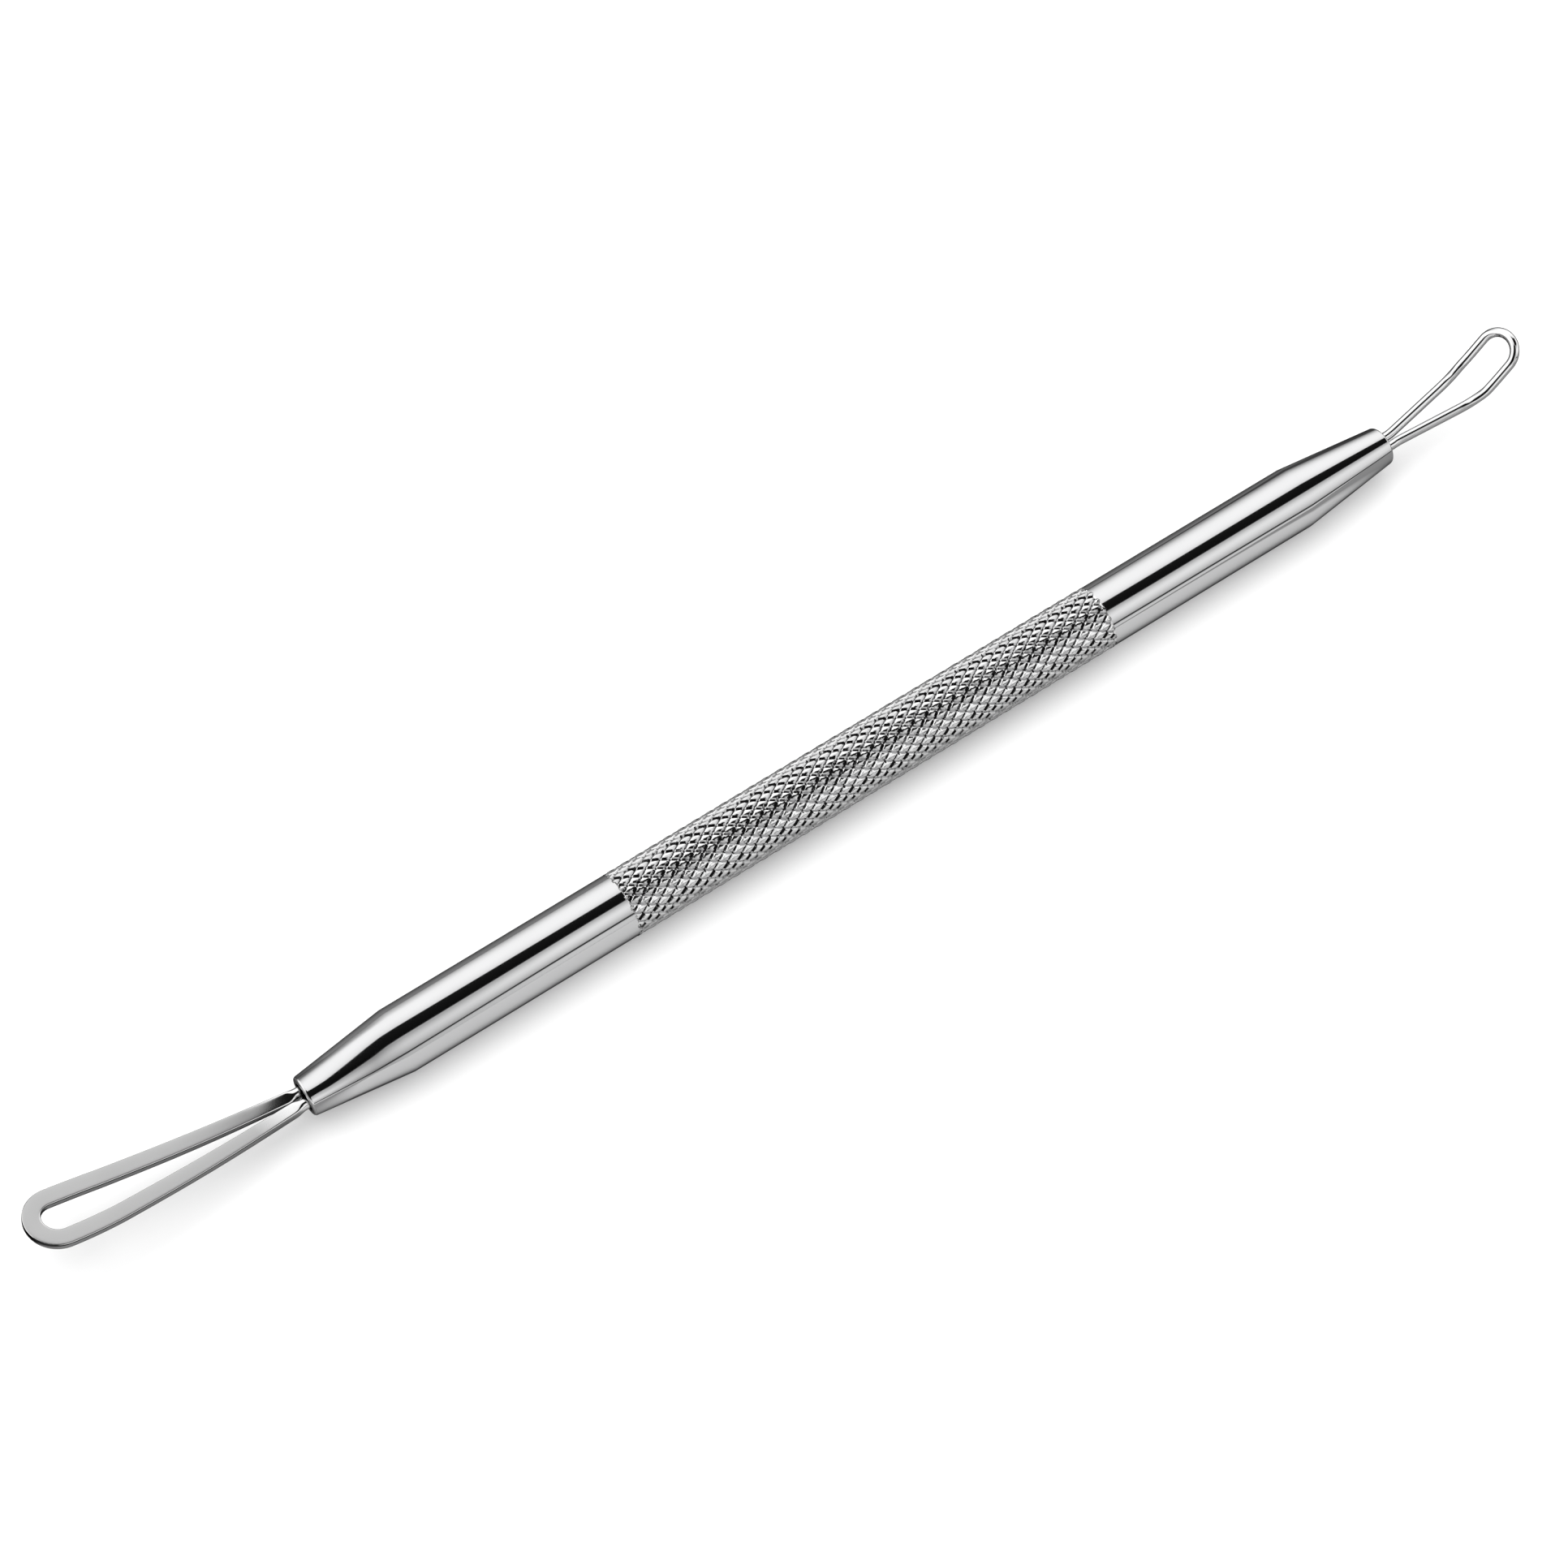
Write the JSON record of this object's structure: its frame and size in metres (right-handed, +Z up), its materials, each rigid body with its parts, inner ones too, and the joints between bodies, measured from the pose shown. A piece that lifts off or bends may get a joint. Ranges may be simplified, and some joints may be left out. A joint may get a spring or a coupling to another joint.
{
  "type": "blackhead extractor",
  "caption": "Double-ended skin-care hand tool: knurled steel handle with a flat loop at one end and a bent wire loop at the other.",
  "frame": {"origin": "on the table under the middle of the tool's whole length, below the handle's axis", "axes": "+X along the handle from the flat loop to the wire loop, +Y across it, +Z up from the table; both loops curve towards +Z"},
  "size_m": [0.1245, 0.0053, 0.0075],
  "materials": {
    "knurled_steel": "bright diamond knurl",
    "polished_steel": "mirror polish",
    "loop_steel": "polished wire, pressed flat at one end",
    "solder": "dull silver solder"
  },
  "bodies": {
    "root": {"knurled_grip": "knurled_steel", "flat_loop_socket": "polished_steel", "wire_loop_socket": "polished_steel", "flat_loop": "loop_steel", "wire_loop": "loop_steel", "flat_loop_solder": "solder", "wire_loop_solder": "solder"}
  },
  "joints": []
}
